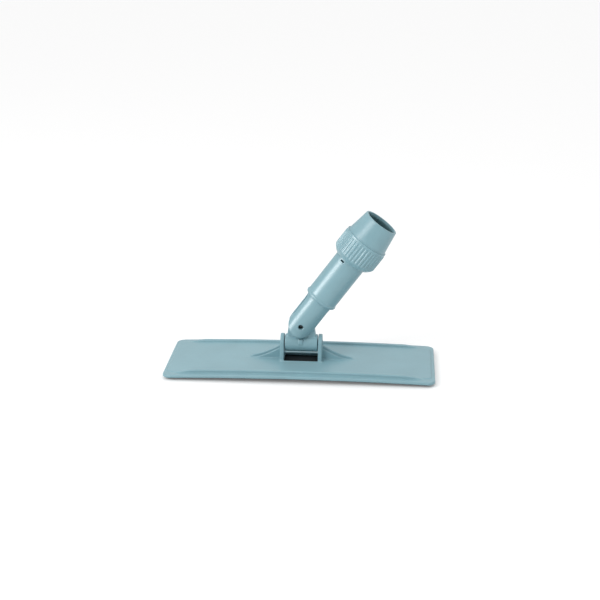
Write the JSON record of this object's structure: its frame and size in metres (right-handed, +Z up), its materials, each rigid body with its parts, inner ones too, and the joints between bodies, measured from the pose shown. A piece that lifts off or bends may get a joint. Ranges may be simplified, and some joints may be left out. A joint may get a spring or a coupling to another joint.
{
  "type": "scrub pad holder",
  "caption": "Arched moulded pad holder with a hook sheet underneath, a two-axis swivel and a screw-collet pole socket.",
  "frame": {"origin": "on the floor under the middle of the plate, level with the two ends of the hook sheet", "axes": "+X along the plate's long side, the way the socket leans at rest; +Y towards the back long edge; +Z up"},
  "size_m": [0.235, 0.095, 0.1411],
  "materials": {
    "moulded_plastic": "satin moulded polypropylene, pale blue-grey",
    "collet_plastic": "matt moulded plastic, darker blue-grey",
    "hook_nylon": "dense short nylon hooks",
    "pin_steel": "turned stainless steel"
  },
  "bodies": {
    "base": {"base_plate": "moulded_plastic", "hook_sheet": "hook_nylon", "tilt_axle": "pin_steel"},
    "swivel": {"knuckle": "moulded_plastic"},
    "socket": {"yoke": "moulded_plastic", "swing_pin": "pin_steel", "socket_tube": "moulded_plastic"},
    "grip": {"collet": "collet_plastic"},
    "nut": {"locking_nut": "moulded_plastic"}
  },
  "joints": [
    {"name": "base_tilt", "type": "hinge", "parent": "base", "child": "swivel", "pos_m": [0, 0, 0.0212], "axis": [1, 0, 0], "range_deg": [-75, 75]},
    {"name": "socket_swing", "type": "hinge", "parent": "swivel", "child": "socket", "pos_m": [0, 0, 0.0393], "axis": [0, 1, 0], "range_deg": [-111.3, 38.7]},
    {"name": "collet_slide", "type": "slide", "parent": "socket", "child": "grip", "axis": [0.592, 0, 0.8059], "range_m": [0, 0.0051]},
    {"name": "nut_turn", "type": "hinge", "parent": "grip", "child": "nut", "pos_m": [0.04736, 0, 0.10377], "axis": [0.592, 0, 0.8059], "range_deg": [0, 360]}
  ],
  "couplings": [
    {"joint": "collet_slide", "follows": "nut_turn", "m_per_rad": 0.00079577}
  ]
}
